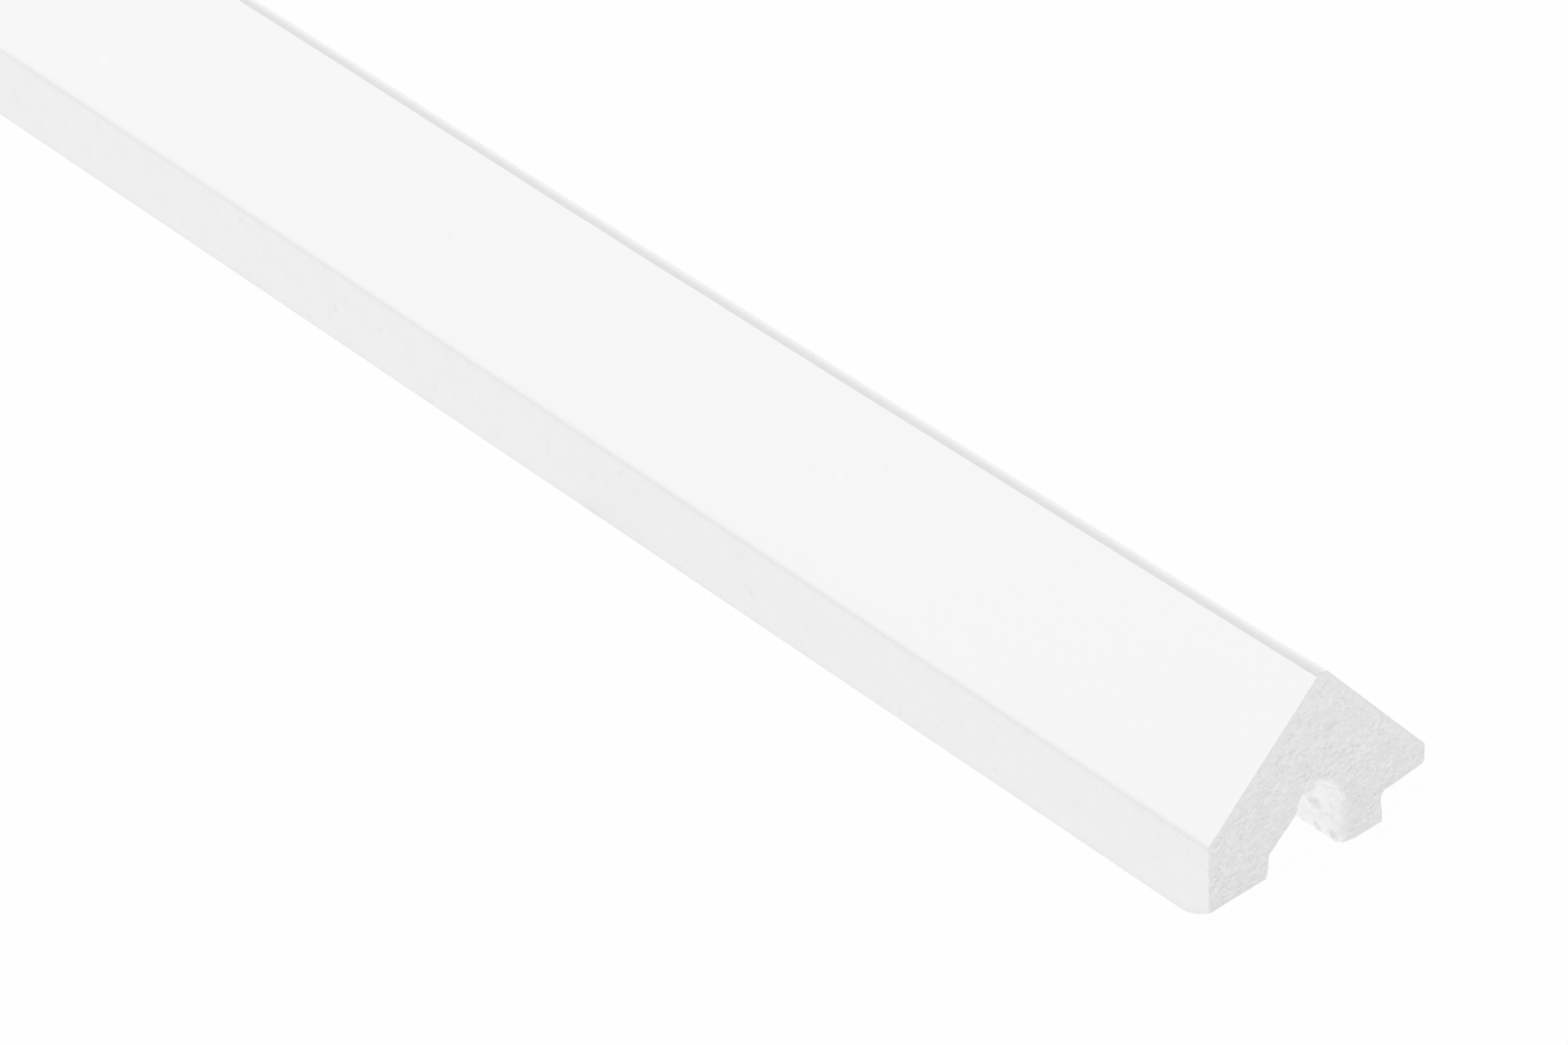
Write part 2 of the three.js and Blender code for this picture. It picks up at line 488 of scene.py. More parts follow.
@dataclass(frozen=True)
class Wear:
    """What use and moulding did to the strip: bends and worn places, as moves of its points. Every method
    takes an array of places, x, y and z on its last axis, and changes it."""

    section: Section
    strip_length: float
    bead_settle: float = 0.14
    settle_length: float = 8.0
    settle_blend: float = 2.4
    ridge_dip: float = 0.42
    dip_lead: float = 15.0
    bead_sway: float = 0.035
    bead_sway_length: float = 7.0
    bead_reach: float = 2.2
    worn_length: float = 3.6
    worn_rise: float = 1.7
    worn_corner: float = 1.0
    ragged: float = 0.45
    ragged_size: float = 0.7
    layers: int = 2
    sway_seeds: tuple[int, int] = (5, 6)
    ragged_seed: int = 7

    def bead_settles(self, points: np.ndarray) -> None:
        """Away from the sawn end the bead is lower: by the settle times a smooth step of the distance
        along, in full from its peak to its back edge and to nothing at its foot and down the back slope.

        Args:
            points: places on the strip.
        """
        section = self.section
        past = points[..., 0] - section.main_face_run
        share = np.clip(past / section.riser_lean, 0.0, 1.0)
        share = share * (1.0 - ease((past - section.bead_width) / self.settle_blend))
        upper = points[..., 2] > section.rebate_height + section.wing_edge
        points[..., 2] -= self.bead_settle * share * upper * ease(points[..., 1] / self.settle_length)

    def ridge_dips(self, points: np.ndarray) -> None:
        """The ridge sags midway along: by the dip times the squared sine of the way along the strip, in
        full at the main face's top and less further down, to nothing at the arris.

        Args:
            points: places on the strip.
        """
        way = np.sin(np.pi * (points[..., 1] + self.dip_lead) / self.strip_length) ** 2
        rise = self.section.main_face_top - self.section.front_height
        share = np.clip((points[..., 2] - self.section.front_height) / rise, 0.0, 1.0)
        points[..., 2] -= self.ridge_dip * way * share

    def bead_sways(self, points: np.ndarray) -> None:
        """The bead wanders a little along its length: its points move sideways and up by smooth noise of
        the distance along, which fades out away from the bead.

        Args:
            points: places on the strip.
        """
        section = self.section
        middle = np.array([section.main_face_run + section.bead_width / 2, section.main_face_top])
        distance = np.linalg.norm(points[..., [0, 2]] - middle, axis=-1)
        share = 1.0 - ease(distance / self.bead_reach)
        along = np.stack([points[..., 1] / self.bead_sway_length, np.zeros(distance.shape)], axis=-1)
        for axis, seed in zip((0, 2), self.sway_seeds):
            points[..., axis] += self.bead_sway * share * Grain(seed).layered(along, self.layers)

    def front_foot_wears(self, points: np.ndarray) -> None:
        """The front foot's near end is worn off in a curve: the foot's height is squeezed into what the
        curve leaves, and its side keeps its lean. The curve is quadratic, from the worn length on the
        underside to the worn rise at the end, so its rise is the worn rise times t squared. The distance
        along falls from the worn length to nothing as t goes from 0 to 1, two thirds of it by t and a third
        by t squared, and solving for t gives the root below.

        Args:
            points: places on the strip.
        """
        pull = self.worn_length * 2.0 / 3.0
        square, linear = self.worn_length - 2.0 * pull, 2.0 * (self.worn_length - pull)
        left = np.clip(self.worn_length - points[..., 1], 0.0, None)
        t = (linear - np.sqrt(linear**2 - 4.0 * square * left)) / (2.0 * square)
        rise = self.worn_rise * t**2
        height = self.section.groove_side_height
        on_foot = (points[..., 0] < self.section.groove_wall / 2) & (points[..., 2] < height)
        lift = np.where(on_foot, rise * (1.0 - points[..., 2] / height), 0.0)
        lean = self.section.front_foot_lean / height
        points[..., 0] += lift * lean * points[..., 0] / self.section.front_foot_width
        points[..., 2] += lift

    def back_foot_wears(self, points: np.ndarray) -> None:
        """The back foot's near corner beside the groove is worn off: points outside the plane through the
        three edges, each at the worn corner's distance, more or less by noise, move straight onto it.

        Args:
            points: places on the strip.
        """
        inward = points[..., 0] - self.section.groove_wall + points[..., 1] + points[..., 2]
        beside = points[..., 0] > self.section.groove_wall - self.worn_corner
        noise = Grain(self.ragged_seed).layered(points / self.ragged_size, self.layers)
        worn = self.worn_corner + self.ragged * noise
        outside = np.where(beside, np.clip(worn - inward, 0.0, None), 0.0)
        points += (outside / 3.0)[..., None]

    def apply(self, points: np.ndarray) -> np.ndarray:
        """Every move in turn.

        Args:
            points: places on the strip, which are changed.

        Returns:
            The same array.
        """
        self.bead_settles(points)
        self.ridge_dips(points)
        self.bead_sways(points)
        self.front_foot_wears(points)
        self.back_foot_wears(points)
        return points


@dataclass(frozen=True)
class SawnRelief:
    """The relief of a sawn end: fine foam cells cut open, drawn out along the saw's way, and a few pits."""

    seed: int
    drag: float = 0.55
    cell_size: float = 0.3
    cell_depth: float = 0.08
    wave_size: float = 0.75
    wave_layers: int = 3
    wave_depth: float = 0.09
    pit_share: float = 0.02
    pit_depth: float = 0.09
    pit_steepness: float = 1.6

    def depth(self, places: np.ndarray) -> np.ndarray:
        """How deep the surface lies under the saw's plane. The places are turned to the saw's way and
        shortened along it, which draws the pattern out; then a cell is deeper towards its middle, a wave
        of layered noise is added, and a cell in a few is a pit.

        Args:
            places: places on the section, x and z on the last axis.

        Returns:
            One depth for each place, from 0 up.
        """
        cosine, sine = math.cos(SAW_ANGLE), math.sin(SAW_ANGLE)
        along = (places[..., 0] * cosine + places[..., 1] * sine) * self.drag
        across = places[..., 1] * cosine - places[..., 0] * sine
        drawn = np.stack([along, across], axis=-1)
        distance, chance = Grain(self.seed).cells(drawn / self.cell_size)
        hollow = 1.0 - np.clip(distance, 0.0, 1.0)
        pit = np.where(chance < self.pit_share, ease(self.pit_steepness * hollow), 0.0)
        wave = 0.5 + 0.5 * Grain(self.seed + 1).layered(drawn / self.wave_size, self.wave_layers)
        return self.cell_depth * hollow * chance + self.wave_depth * wave + self.pit_depth * pit


@dataclass
class SawnEnd:
    """A grid over a sawn end: its places, how far round the section the nearest place on its edge lies, and
    how far inside that edge it is."""

    places: np.ndarray
    around: np.ndarray
    core: np.ndarray


@dataclass
class TrimStrip:
    """The strip as one closed surface: its sides run along it, and its two ends are sawn square."""

    section: Section
    strip_length: float
    wear: Wear
    first_station: float = 0.15
    near_step: float = 0.2
    near_length: float = 6.0
    step_growth: float = 0.09
    longest_step: float = 2.0
    last_stations: tuple[float, ...] = (1.0, 0.5, 0.25)
    relief_size: float = 1.1
    relief_layers: int = 3
    relief_seed: int = 11
    near_seed: int = 21
    far_seed: int = 31
    softness_blend: int = 24
    far_softness: float = 0.12
    end_blend: float = 6.0
    edge_relief: float = 0.4
    edge_blend: float = 0.8
    rebate_bulge: float = 0.3
    bulge_steps: float = 20.0
    far_every: int = 2
    sharp_angle: float = math.radians(38.0)

    def __post_init__(self) -> None:
        """Works out the ring and what is the same all along the strip."""
        self.ring, self.faces = self.section.ring()
        surfacing = [SURFACING[f] for f in self.faces]
        self.relief = self.blend_round(np.array([s.relief for s in surfacing]))
        self.softness = self.blend_round(np.array([s.softness for s in surfacing]))
        self.coats = np.array([s.coat.value for s in surfacing])
        self.under = np.array([f in (Face.BACK_FOOT, Face.FRONT_FOOT) for f in self.faces])
        step = np.linalg.norm(np.roll(self.ring, -1, axis=0) - self.ring, axis=-1)
        self.around = np.concatenate([[0.0], np.cumsum(step)[:-1]])
        tangent = np.roll(self.ring, -1, axis=0) - np.roll(self.ring, 1, axis=0)
        tangent /= np.linalg.norm(tangent, axis=-1, keepdims=True)
        self.outward = np.stack([-tangent[:, 1], tangent[:, 0]], axis=-1)

    def blend_round(self, values: np.ndarray) -> np.ndarray:
        """A running mean round the ring, so that a value changes gently from face to face.

        Args:
            values: one value for each place on the ring.

        Returns:
            The blended values.
        """
        reach = self.softness_blend
        shifts = [np.roll(values, shift) for shift in range(-reach, reach + 1)]
        return np.mean(shifts, axis=0)

    def face_start(self, face: Face) -> float:
        """How far round the section a face starts."""
        return float(self.around[self.faces.index(face)])

    def stations(self) -> np.ndarray:
        """Distances along the strip of its rings: close together at the near end, then further and further
        apart up to the longest step.

        Returns:
            The distances, without the two ends.
        """
        stations = [self.first_station]
        while stations[-1] < self.strip_length - self.longest_step:
            grown = self.near_step + self.step_growth * max(0.0, stations[-1] - self.near_length)
            stations.append(stations[-1] + min(grown, self.longest_step))
        ends = self.strip_length - np.array(self.last_stations)
        return np.concatenate([[s for s in stations if s < ends[0] - self.near_step], ends])

    def ring_at(self, along: np.ndarray, every: int) -> np.ndarray:
        """Rings of places at distances along the strip: the section, moved outwards by its relief, which is
        layered noise of the place. The feet's undersides only move inwards, so they rest on the wall.

        Args:
            along: the distance along of each place, the ring on the last axis.
            every: every how many fine places one is taken.

        Returns:
            The places, x, y and z on the last axis.
        """
        section, outward = self.ring[::every], self.outward[::every]
        flat = np.broadcast_to(section, along.shape + (2,))
        points = np.stack([flat[..., 0], along, flat[..., 1]], axis=-1)
        noise = Grain(self.relief_seed).layered(points / self.relief_size, self.relief_layers)
        noise = np.where(self.under[::every], -0.5 - 0.5 * noise, noise)
        move = (self.relief[::every] * noise)[..., None] * outward
        points[..., 0] += move[..., 0]
        points[..., 2] = np.maximum(points[..., 2] + move[..., 1], 0.0)
        return points

    def sawn_end(self, relief: SawnRelief, softness: np.ndarray, near: bool) -> SawnEnd:
        """A grid over a sawn end. It blends the way over the arch into the way through the groove, and adds
        the blend of the two undersides less that of the four corners. The ways that leave the rebate's roof
        bulge up, by a bell curve of the step, so that none crosses it. Each place is then as deep as the
        saw's relief, which is lower near an edge, and as a quarter circle of the softness there: with r the
        softness and d the distance from the edge, r less the root of r squared less (r - d) squared.

        Args:
            relief: the sawn surface's relief.
            softness: the radius to which the edge is worn, for each place on the ring.
            near: whether it is the near end.

        Returns:
            The end, from over the arch to through the groove on its second axis.
        """
        arch, foot = self.section.arch_steps(), self.section.foot_steps()
        start = 0.0 if near else self.strip_length
        ring = self.ring_at(np.full(len(self.ring), start), 1)[:, [0, 2]]
        over, back = ring[: arch + 1], ring[arch : arch + foot + 1]
        through = ring[arch + foot : 2 * arch + foot + 1][::-1]
        front = np.concatenate([ring[2 * arch + foot :], ring[:1]])[::-1]
        u = np.linspace(0.0, 1.0, arch + 1)[:, None, None]
        v = np.linspace(0.0, 1.0, foot + 1)[None, :, None]
        grid = (1 - v) * over[:, None] + v * through[:, None]
        grid += (1 - u) * (front - (1 - v) * front[0] - v * front[-1])
        grid += u * (back - (1 - v) * back[0] - v * back[-1])
        rebate_middle = (self.faces.index(Face.REBATE) + self.faces.index(Face.BACK_FOOT)) / 2
        bell = np.exp(-(((np.arange(arch + 1) - rebate_middle) / self.bulge_steps) ** 2))
        grid[..., 1] += self.rebate_bulge * bell[:, None] * np.sin(np.pi * v[..., 0])
        core, beside = self.nearest(grid, ring)
        radius = softness[beside]
        inside = np.clip(radius - core, 0.0, None)
        worn = radius - np.sqrt(np.clip(radius**2 - inside**2, 0.0, None))
        full = self.edge_relief + (1.0 - self.edge_relief) * ease(core / self.edge_blend)
        depth = relief.depth(grid) * full + worn
        along = depth if near else self.strip_length - depth
        return SawnEnd(np.stack([grid[..., 0], along, grid[..., 1]], axis=-1), self.around[beside], core)

    @staticmethod
    def nearest(grid: np.ndarray, ring: np.ndarray) -> tuple[np.ndarray, np.ndarray]:
        """The nearest place on an end's edge to each place on the end, a stretch of the edge at a time,
        which saves memory.

        Args:
            grid: places on the end.
            ring: places on its edge.

        Returns:
            The distance to it, and its number on the ring.
        """
        stretch = 32
        distance = np.full(grid.shape[:-1], np.inf)
        number = np.zeros(grid.shape[:-1], dtype=int)
        for first in range(0, len(ring), stretch):
            gap = np.linalg.norm(grid[..., None, :] - ring[first : first + stretch], axis=-1)
            choice = gap.argmin(axis=-1)
            gap = gap.min(axis=-1)
            number = np.where(gap < distance, first + choice, number)
            distance = np.minimum(gap, distance)
        return distance, number

    def rim(self, grid: np.ndarray) -> np.ndarray:
        """The places on a grid's border, in the ring's order.

        Args:
            grid: an array over a sawn end.

        Returns:
            Its border, as many rows as the ring has places.
        """
        return np.concatenate([grid[:-1, 0], grid[-1, :-1], grid[:0:-1, -1], grid[0, :0:-1]])

    def add_end(self, parts: MeshParts, end: SawnEnd, every: int, near: bool) -> np.ndarray:
        """Adds a sawn end to the mesh.

        Args:
            parts: the mesh so far.
            end: the end's grid.
            every: every how many fine places one is taken, both ways.
            near: whether it is the near end.

        Returns:
            The numbers of the vertices on its rim, in the ring's order.
        """
        places = self.wear.apply(end.places)[::every, ::every]
        numbers = parts.add_places(places, end.around[::every, ::every], end.core[::every, ::every])
        a, b = numbers[:-1, :-1].ravel(), numbers[1:, :-1].ravel()
        c, d = numbers[1:, 1:].ravel(), numbers[:-1, 1:].ravel()
        order = (a, d, c, b) if near else (a, b, c, d)
        parts.add_faces(np.stack(order, axis=-1), np.array(Coat.SAWN.value))
        return self.rim(numbers)

    def add_fan(self, parts: MeshParts, fine: np.ndarray, coarse: np.ndarray, near: bool) -> None:
        """Joins a fine rim to a coarse ring: the first half of the fine steps over each coarse one meet
        where it starts, the others where it ends, and one face fills what is left between.

        Args:
            parts: the mesh so far.
            fine: the numbers of the fine rim's vertices.
            coarse: the numbers of the coarse ring's vertices.
            near: whether the rim is the near end's.
        """
        ratio = len(fine) // len(coarse)
        first = np.repeat(coarse, ratio)
        last = np.repeat(np.roll(coarse, -1), ratio)
        early = np.tile(np.arange(ratio) < ratio // 2, len(coarse))
        apex = np.where(early, first, last)
        onward = np.roll(fine, -1)
        middle = fine[ratio // 2 :: ratio]
        after = np.roll(coarse, -1)
        coats = self.coats[:: self.section.fineness]
        turn = 1 if near else -1
        parts.add_faces(np.stack([fine, onward, apex], axis=-1)[:, ::turn], np.repeat(coats, ratio))
        parts.add_faces(np.stack([middle, after, coarse], axis=-1)[:, ::turn], coats)

    def add_sides(self, parts: MeshParts, near_rim: np.ndarray) -> np.ndarray:
        """Adds the strip's long faces: rings at the stations, drawn in behind the near end's worn edge.

        Args:
            parts: the mesh so far.
            near_rim: how deep the near end's edge lies at each place on the coarse ring.

        Returns:
            The numbers of the vertices, one ring a row.
        """
        every = self.section.fineness
        stations = self.stations()[:, None]
        drawn_in = near_rim * np.clip(1.0 - stations / self.end_blend, 0.0, 1.0)
        points = self.wear.apply(self.ring_at(stations + drawn_in, every))
        around = np.broadcast_to(self.around[::every], points.shape[:2])
        numbers = parts.add_places(points, around, np.zeros(around.shape))
        a, b = numbers[:-1], np.roll(numbers, -1, axis=1)[:-1]
        c, d = np.roll(numbers, -1, axis=1)[1:], numbers[1:]
        quads = np.stack([a, b, c, d], axis=-1).reshape(-1, 4)
        parts.add_faces(quads, np.tile(self.coats[::every], len(stations) - 1))
        return numbers

    def build(self) -> bpy.types.Object:
        """Builds the strip's mesh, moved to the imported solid's place.

        Returns:
            The strip's object, linked to the scene.
        """
        parts = MeshParts()
        near = self.sawn_end(SawnRelief(self.near_seed), self.softness, True)
        far_softness = np.minimum(self.softness, self.far_softness)
        far = self.sawn_end(SawnRelief(self.far_seed), far_softness, False)
        near_depth = self.rim(near.places)[:: self.section.fineness, 1]
        near_rim = self.add_end(parts, near, 1, True)
        far_rim = self.add_end(parts, far, self.far_every, False)
        rings = self.add_sides(parts, near_depth)
        self.add_fan(parts, near_rim, rings[0], True)
        self.add_fan(parts, far_rim, rings[-1], False)
        mesh = parts.mesh("trim_strip")
        low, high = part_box(STRIP_NODE)
        middle = (low + high) / 2
        half_width = self.section.strip_width * MILLIMETRE / 2
        half_length = self.strip_length * MILLIMETRE / 2
        mesh.transform(Matrix.Translation((middle.x - half_width, middle.y - half_length, low.z)))
        mesh.shade_smooth()
        mesh.set_sharp_from_angle(angle=self.sharp_angle)
        return stand("trim_strip", mesh)


Value = Union[float, tuple[float, ...], "Socket"]


class Socket:
    """One output of a node. Python's operators on it add Math nodes."""

    def __init__(self, shader: "Shader", output: bpy.types.NodeSocket) -> None:
        """Keeps the output and the shader that it is in."""
        self.shader = shader
        self.output = output

    def math(self, operation: str, first: Value, second: Value) -> "Socket":
        """A Math node on two values."""
        return self.shader.add("ShaderNodeMath", {"operation": operation}, {0: first, 1: second})

    def __add__(self, other: Value) -> "Socket":
        """This plus the other."""
        return self.math("ADD", self, other)

    def __radd__(self, other: Value) -> "Socket":
        """The other plus this."""
        return self.math("ADD", other, self)

    def __sub__(self, other: Value) -> "Socket":
        """This less the other."""
        return self.math("SUBTRACT", self, other)

    def __rsub__(self, other: Value) -> "Socket":
        """The other less this."""
        return self.math("SUBTRACT", other, self)

    def __mul__(self, other: Value) -> "Socket":
        """This times the other."""
        return self.math("MULTIPLY", self, other)

    def __rmul__(self, other: Value) -> "Socket":
        """The other times this."""
        return self.math("MULTIPLY", other, self)

    def step(self, low: float, high: float) -> "Socket":
        """A smooth step of this, from 0 at low to 1 at high."""
        return self.shader.add(
            "ShaderNodeMapRange",
            {"interpolation_type": "SMOOTHSTEP"},
            {"Value": self, "From Min": low, "From Max": high},
        )

    def fall(self, low: float, high: float) -> "Socket":
        """1 less a smooth step of this: from 1 at low to 0 at high."""
        return 1.0 - self.step(low, high)

    def band(self, low: float, full: float, still: float, gone: float) -> "Socket":
        """A smooth step up, from low to full, times one down, from still to gone."""
        return self.step(low, full) * self.fall(still, gone)

    def ramp(self, low: float, high: float) -> "Socket":
        """A straight ramp of this, from 0 at low to 1 at high."""
        return self.shader.add("ShaderNodeMapRange", {}, {"Value": self, "From Min": low, "From Max": high})


@dataclass(frozen=True)
class Gloss:
    """How rough and how shiny a finish is, and how strong and how deep its finest relief is."""

    roughness: float
    specular: float
    bump: float
    bump_depth: float


class Shader:
    """A material and its nodes."""

    def __init__(self, name: str) -> None:
        """Makes the material with an empty tree."""
        self.material = bpy.data.materials.new(name)
        self.material.use_nodes = True
        self.tree = self.material.node_tree
        self.tree.nodes.clear()

    def add(
        self,
        kind: str,
        settings: dict[str, object],
        sockets: dict[Union[str, int], Value],
        output: Union[str, int] = 0,
    ) -> "Socket":
        """Adds any node.

        Args:
            kind: the node's type.
            settings: its own settings, set before its sockets.
            sockets: a value or a link for each input that needs one.
            output: which output is wanted.

        Returns:
            That output.
        """
        node = self.tree.nodes.new(kind)
        for name, value in settings.items():
            setattr(node, name, value)
        for name, value in sockets.items():
            if isinstance(value, Socket):
                self.tree.links.new(value.output, node.inputs[name])
            else:
                node.inputs[name].default_value = value
        return Socket(self, node.outputs[output])

    def noise(self, where: Socket, size: float, detail: float = 2.0, roughness: float = 0.5) -> Socket:
        """Noise from 0 to 1 whose features are about size millimetres across."""
        texture = {"Scale": 1.0 / (size * MILLIMETRE), "Detail": detail, "Roughness": roughness}
        return self.add("ShaderNodeTexNoise", {}, {"Vector": where, **texture}, "Fac")

    def swing(self, where: Socket, size: float, reach: float, *texture: float) -> Socket:
        """Noise about 0, from half the reach below it to half the reach above."""
        return (self.noise(where, size, *texture) - 0.5) * reach

    def attribute(self, name: str) -> Socket:
        """A number kept on the mesh's points."""
        return self.add("ShaderNodeAttribute", {"attribute_name": name}, {}, "Fac")

    def places(self) -> Socket:
        """Where on the piece a point lies."""
        return self.add("ShaderNodeTexCoord", {}, {}, "Object")

    def grey(self, level: Socket) -> Socket:
        """A level as a grey, held below white."""
        held = level.math("MINIMUM", level, 1.0)
        return self.add("ShaderNodeCombineColor", {}, {"Red": held, "Green": held, "Blue": held})

    def surface(self, sockets: dict[str, Value]) -> bpy.types.Material:
        """Ends the tree in a Principled shader.

        Args:
            sockets: the shader's values and links.

        Returns:
            The finished material.
        """
        shader = self.add("ShaderNodeBsdfPrincipled", {}, sockets)
        end = self.tree.nodes.new("ShaderNodeOutputMaterial")
        self.tree.links.new(shader.output, end.inputs["Surface"])
        return self.material

    def foam(self, level: Socket, height: Socket, gloss: Gloss) -> bpy.types.Material:
        """Ends the tree in a grey surface with a fine relief.

        Args:
            level: how light it is.
            height: the pattern of its relief.
            gloss: its other numbers.

        Returns:
            The finished material.
        """
        depth = gloss.bump_depth * MILLIMETRE
        relief = {"Strength": gloss.bump, "Distance": depth, "Height": height}
        return self.surface(
            {
                "Base Color": self.grey(level),
                "Roughness": gloss.roughness,
                "Specular IOR Level": gloss.specular,
                "Normal": self.add("ShaderNodeBump", {}, relief, "Normal"),
            }
        )


@dataclass(frozen=True)
class Spot:
    """A lighter or darker spot: where it is on the strip, its radius, and how it changes the level."""

    place: tuple[float, float, float]
    radius: float
    change: float


FILM_SPOTS = (
    Spot((0.0, 6.5, 6.9), 0.4, -0.04),
    Spot((0.0, 28.3, 1.6), 0.45, -0.04),
    Spot((0.0, 41.3, 0.9), 0.45, -0.045),
    Spot((0.0, 62.5, 3.4), 0.7, -0.04),
    Spot((0.0, 81.4, 7.5), 0.5, -0.04),
    Spot((0.0, 110.8, 2.5), 0.6, -0.04),
    Spot((0.0, 119.3, 5.3), 0.5, -0.04),
    Spot((0.0, 126.7, 4.2), 0.65, -0.04),
    Spot((0.0, 131.3, 1.0), 0.55, -0.045),
    Spot((0.0, 142.1, 7.5), 0.5, -0.04),
    Spot((0.0, 166.7, 7.9), 0.6, -0.045),
    Spot((6.8, 61.0, 15.4), 0.6, -0.02),
    Spot((3.6, 169.8, 12.5), 0.9, 0.02),
    Spot((7.3, 57.3, 15.8), 0.8, 0.02),
    Spot((6.5, 115.4, 15.1), 0.7, -0.018),
    Spot((9.6, 53.4, 17.9), 0.5, -0.02),
)

# flecks on the sawn end, and the last spot is painted shade in its bottom corner by the front face
SAWN_SPOTS_AND_SHADE = (
    Spot((9.4, 0.0, 10.6), 0.55, 0.09),
    Spot((8.5, 0.0, 11.6), 0.45, 0.08),
    Spot((18.8, 0.0, 18.3), 0.4, -0.08),
    # painted shade: a darker patch in the sawn end's bottom corner by the front face
    Spot((0.6, 0.0, 0.8), 1.8, -0.03),
)

GROOVE_SPOTS = (
    Spot((16.5, 3.6, 3.0), 1.15, -0.17),
    Spot((16.5, 1.2, 0.8), 0.6, -0.27),
    Spot((16.5, 3.1, 1.6), 0.5, -0.08),
    Spot((16.5, 2.9, 0.5), 0.5, -0.09),
    Spot((16.5, 1.2, 3.0), 0.4, -0.07),
    Spot((16.2, 4.8, 5.5), 2.3, -0.2),
    Spot((16.0, 1.6, 6.5), 1.4, -0.1),
    Spot((16.5, 2.0, 2.1), 0.8, 0.06),
    Spot((16.5, 3.1, 4.6), 0.7, 0.06),
)


@dataclass(frozen=True)
class Spotting:
    """Spots on the strip, and where in the frame the section's corner lies, in millimetres."""

    corner: tuple[float, float, float]
    edge_size: float = 0.35
    edge_wander: float = 0.5
    full_share: float = 0.2

    def level(self, shader: Shader, where: Socket, spots: tuple[Spot, ...]) -> Socket:
        """How the spots change the level: each by its change, times 1 less a smooth step of the distance
        from its place, from a share of its radius up to its radius. Noise on the distance makes its edge
        uneven.

        Args:
            shader: the material that they are in.
            where: the place on the piece.
            spots: the spots.

        Returns:
            The sum of their changes.
        """
        wander = shader.swing(where, self.edge_size, self.edge_wander * MILLIMETRE)
        total: Value = 0.0
        for spot in spots:
            radius = spot.radius * MILLIMETRE
            centre = tuple((at + start) * MILLIMETRE for at, start in zip(spot.place, self.corner))
            distance = shader.add(
                "ShaderNodeVectorMath", {"operation": "DISTANCE"}, {0: where, 1: centre}, "Value"
            )
            total = total + (distance + wander).fall(self.full_share * radius, radius) * spot.change
        return total


@dataclass(frozen=True)
class FilmFinish:
    """Matt white paint film. It has painted shade in a line along the arris, and over the bead a painted
    shade at its foot that turns to a painted highlight at its crest; the front face is faintly mottled and
    pocked."""

    spotting: Spotting
    arris: float
    bead_foot: float
    bead_end: float
    level: float = 0.93
    uneven_size: float = 0.8
    uneven_least: float = 0.6
    uneven: float = 0.8
    # painted shade along the arris: a darker line, with a darker core at the arris itself
    arris_shade_drop: float = 0.034
    wander_size: float = 0.4
    arris_wander: float = 0.3
    arris_core_shade_drop: float = 0.026
    core_width: float = 0.28
    arris_down: float = 0.8
    arris_gap: float = 0.05
    arris_up: float = 0.68
    foot_blend: float = 0.04
    # painted shade at the bead's foot; the negative drop at its top is a painted highlight
    bead_foot_shade_drop: float = 0.18
    bead_crest_highlight_drop: float = -0.055
    bead_start: float = 0.2
    bead_fade: float = 1.3
    bead_blend: float = 0.3
    texture_size: float = 0.45
    bead_texture: float = 0.05
    front_blend: float = 0.2
    mottle_size: float = 2.2
    mottle: float = 0.055
    pock_size: float = 0.42
    pock_span: tuple[float, float] = (0.67, 0.74)
    pock: float = 0.045
    edge_pock: float = 0.04
    pock_reach: float = 1.6
    gloss: Gloss = Gloss(0.62, 0.25, 0.12, 0.02)

    def material(self) -> bpy.types.Material:
        """Works out the film's level: the plain level less the painted shade lines along the arris, the
        painted shade and highlight over the bead, and the front face's mottle and pocks, plus the spots.

        Returns:
            The film as a material.
        """
        shader = Shader("white paint film")
        where = shader.places()
        around = shader.attribute(AROUND)
        arris, foot = self.arris, self.bead_foot
        uneven = self.uneven_least + self.uneven * shader.noise(where, self.uneven_size)
        ragged = around + shader.swing(where, self.wander_size, self.arris_wander)
        # painted shade: a darker line along the arris, and a darker core right at it
        line = ragged.band(arris - self.arris_down, arris, arris + self.arris_gap, arris + self.arris_up)
        core = ragged.band(arris - self.core_width, arris, arris, arris + self.core_width)
        # painted shade at the bead's foot, fading up the bead to a painted highlight at its crest
        on_bead = around.band(
            foot - self.foot_blend, foot + self.foot_blend, self.bead_end, self.bead_end + self.bead_blend
        )
        fade = 1.0 - around.ramp(foot + self.bead_start, foot + self.bead_fade)
        bead = self.bead_crest_highlight_drop + fade * (self.bead_foot_shade_drop - self.bead_crest_highlight_drop)
        bead = on_bead * (bead + shader.swing(where, self.texture_size, self.bead_texture))
        on_front = around.fall(arris - self.front_blend, arris + self.front_blend)
        mottle = shader.swing(where, self.mottle_size, self.mottle, *DETAILED)
        beside = around.ramp(arris - self.pock_reach, arris)
        pocks = shader.noise(where, self.pock_size, PLAIN).step(*self.pock_span)
        pocks = pocks * (self.pock + self.edge_pock * beside)
        # the bead's painted shade and painted highlight come off the level here
        level = self.level + on_front * (mottle - pocks) - bead
        # the arris's painted shade comes off the level here, made uneven by noise
        level = level - uneven * (self.arris_shade_drop * line + self.arris_core_shade_drop * core)
        level = level + self.spotting.level(shader, where, FILM_SPOTS)
        return shader.foam(level, shader.noise(where, self.texture_size, PLAIN), self.gloss)


